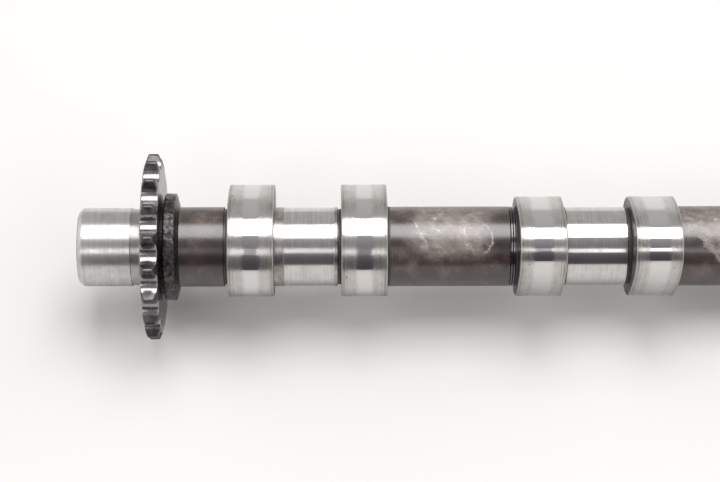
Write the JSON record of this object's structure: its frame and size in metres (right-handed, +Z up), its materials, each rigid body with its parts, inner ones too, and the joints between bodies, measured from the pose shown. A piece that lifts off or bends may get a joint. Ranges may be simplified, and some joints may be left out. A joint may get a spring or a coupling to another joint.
{
  "type": "camshaft",
  "caption": "One-piece chain-driven camshaft: ground journals between pairs of phased lobes, with an integral roller-chain sprocket and a rough collar at one end.",
  "frame": {"origin": "on the axis, in the plane of the end face at the sprocket end, where the centre drilling opens", "axes": "the shaft runs from the origin towards +X and dips by 2.21 degrees, as it lies on two sprocket teeth and on the heel of its last lobe; +Z is up, and -Y is the side towards the viewer"},
  "size_m": [0.3903, 0.0572, 0.0564],
  "materials": {
    "camshaft_iron": "ground bright on journals and lobes, oil-stained between them"
  },
  "bodies": {
    "root": {"camshaft": "camshaft_iron"}
  },
  "joints": []
}
